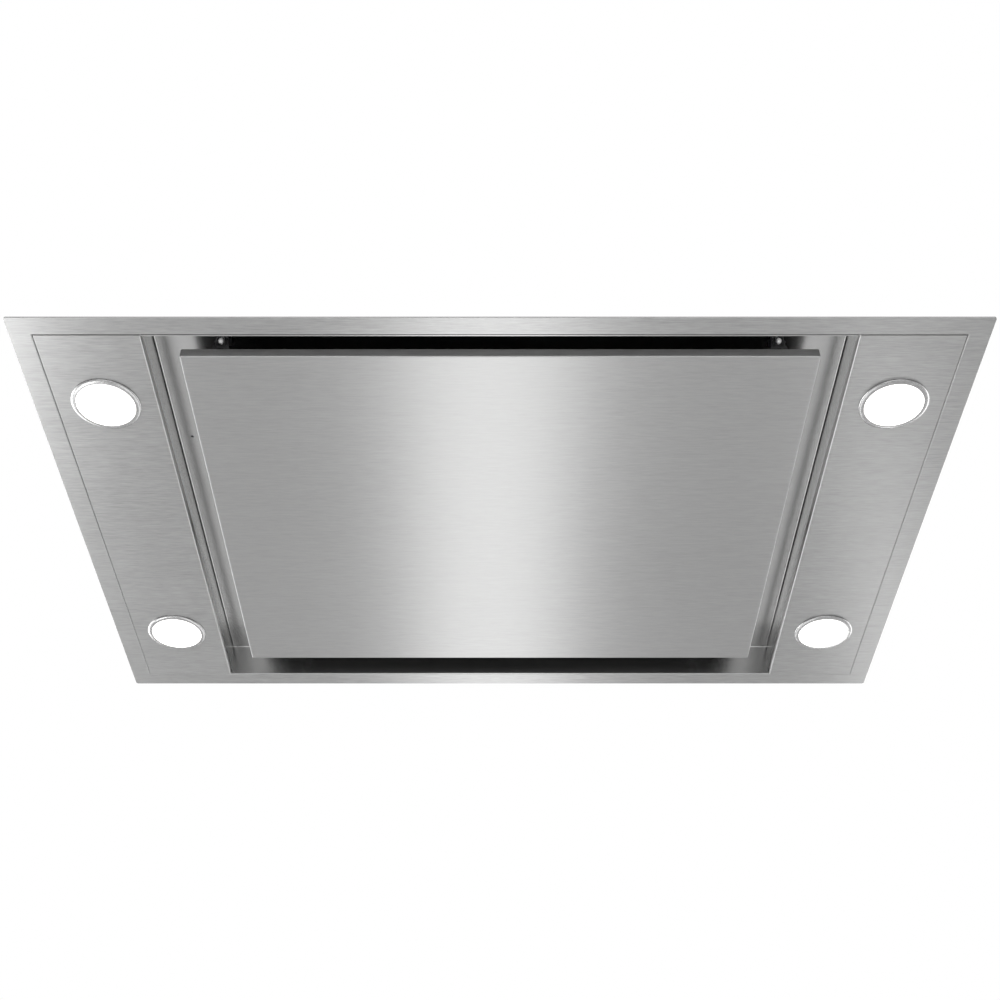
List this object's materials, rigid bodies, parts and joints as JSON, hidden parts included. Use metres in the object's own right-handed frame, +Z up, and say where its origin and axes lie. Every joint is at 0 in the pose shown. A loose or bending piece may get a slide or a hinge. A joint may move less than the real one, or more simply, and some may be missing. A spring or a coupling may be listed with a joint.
{
  "type": "ceiling range hood",
  "caption": "Flush ceiling range hood with round downlights, a hinged perimeter-suction panel, grease filters, centrifugal blower and a round duct outlet with non-return flaps.",
  "frame": {"origin": "centre of the footprint at the lowest level, the underside of the lamp bezels", "axes": "+X along the hood's length, +Y from the near side with the catches to the side with the panel's hinges, +Z up into the ceiling"},
  "size_m": [0.9, 0.6, 0.2579],
  "materials": {
    "stainless": "brushed along X",
    "galvanised": "galvanised sheet",
    "dark_steel": "black coated steel",
    "spring_steel": "blued spring steel",
    "plain_steel": "zinc plated",
    "nylon": "white nylon",
    "filter_aluminium": "mill finish",
    "black_plastic": "moulded",
    "foam": "closed-cell foam",
    "rubber": "moulded rubber",
    "lamp_metal": "satin chrome",
    "heat_sink": "cast",
    "board": "circuit board",
    "wheel_metal": "galvanised",
    "winding": "laminations and enamelled wire",
    "grey_plastic": "moulded",
    "cable_sheath": "cable sheath",
    "lamp_glow": "opal diffuser"
  },
  "bodies": {
    "hood": {"face_frame": "stainless", "light_panel_left": "stainless", "light_panel_right": "stainless", "recess_tray": "stainless", "plenum_frame": "galvanised", "filter_ledge": "galvanised", "housing_base": "galvanised", "fan_casing": "galvanised", "service_cover": "galvanised", "hanging_brackets": "galvanised", "blower_plate": "galvanised", "inlet_ring": "galvanised", "hinge_brackets": "dark_steel", "catch_clips": "spring_steel", "latch_springs": "spring_steel", "lamp_springs": "spring_steel", "hinge_pins": "plain_steel", "housing_screws": "plain_steel", "motor_bearings": "plain_steel", "damper_pin": "plain_steel", "filter_frame_left": "filter_aluminium", "filter_frame_right": "filter_aluminium", "filter_mesh_left": "filter_aluminium", "filter_mesh_right": "filter_aluminium", "outlet_collar": "black_plastic", "cable_gland": "black_plastic", "receiver": "black_plastic", "blower_scroll": "black_plastic", "filter_seal": "foam", "ceiling_seal": "foam", "motor_mounts": "rubber", "lamp_bezel_front_left": "lamp_metal", "lamp_bezel_front_right": "lamp_metal", "lamp_bezel_rear_left": "lamp_metal", "lamp_bezel_rear_right": "lamp_metal", "lamp_lenses": "lamp_glow", "lamp_bodies": "heat_sink", "led_boards": "board", "control_board": "board", "motor_can": "wheel_metal", "motor_bracket": "wheel_metal", "motor_stator": "winding", "control_box": "grey_plastic", "led_driver": "grey_plastic", "capacitor": "grey_plastic", "wiring_loom": "cable_sheath"},
    "drop_panel": {"centre_panel": "stainless", "panel_backing": "dark_steel", "catch_brackets": "dark_steel", "catch_balls": "nylon", "hinge_arms": "dark_steel", "panel_screws": "plain_steel"},
    "fan": {"wheel_plate": "wheel_metal", "wheel_blades": "wheel_metal", "wheel_ring": "wheel_metal", "motor_rotor": "plain_steel"},
    "front_flap": {"damper_flap_front": "black_plastic"},
    "rear_flap": {"damper_flap_rear": "black_plastic"},
    "left_latch": {"filter_latch_left": "black_plastic"},
    "right_latch": {"filter_latch_right": "black_plastic"}
  },
  "joints": [
    {"name": "panel_drop", "type": "hinge", "parent": "hood", "child": "drop_panel", "pos_m": [0, 0.24, 0.0265], "axis": [1, 0, 0], "range_deg": [0, 90]},
    {"name": "fan_spin", "type": "hinge", "parent": "hood", "child": "fan", "pos_m": [-0.04, 0.03, 0.171], "axis": [0, 0, 1], "continuous": true},
    {"name": "front_flap_swing", "type": "hinge", "parent": "hood", "child": "front_flap", "pos_m": [0.3015, -0.08962, 0.16625], "axis": [0, 0, 1], "range_deg": [0, 80], "stiffness_Nm_per_rad": 0.02, "springref_deg": -11.46},
    {"name": "rear_flap_swing", "type": "hinge", "parent": "hood", "child": "rear_flap", "pos_m": [0.3015, -0.08962, 0.16625], "axis": [0, 0, -1], "range_deg": [0, 80], "stiffness_Nm_per_rad": 0.02, "springref_deg": -11.46},
    {"name": "left_latch_slide", "type": "slide", "parent": "hood", "child": "left_latch", "axis": [0, 1, 0], "range_m": [0, 0.006], "stiffness_N_per_m": 300, "springref_m": -0.006},
    {"name": "right_latch_slide", "type": "slide", "parent": "hood", "child": "right_latch", "axis": [0, 1, 0], "range_m": [0, 0.006], "stiffness_N_per_m": 300, "springref_m": -0.006}
  ]
}
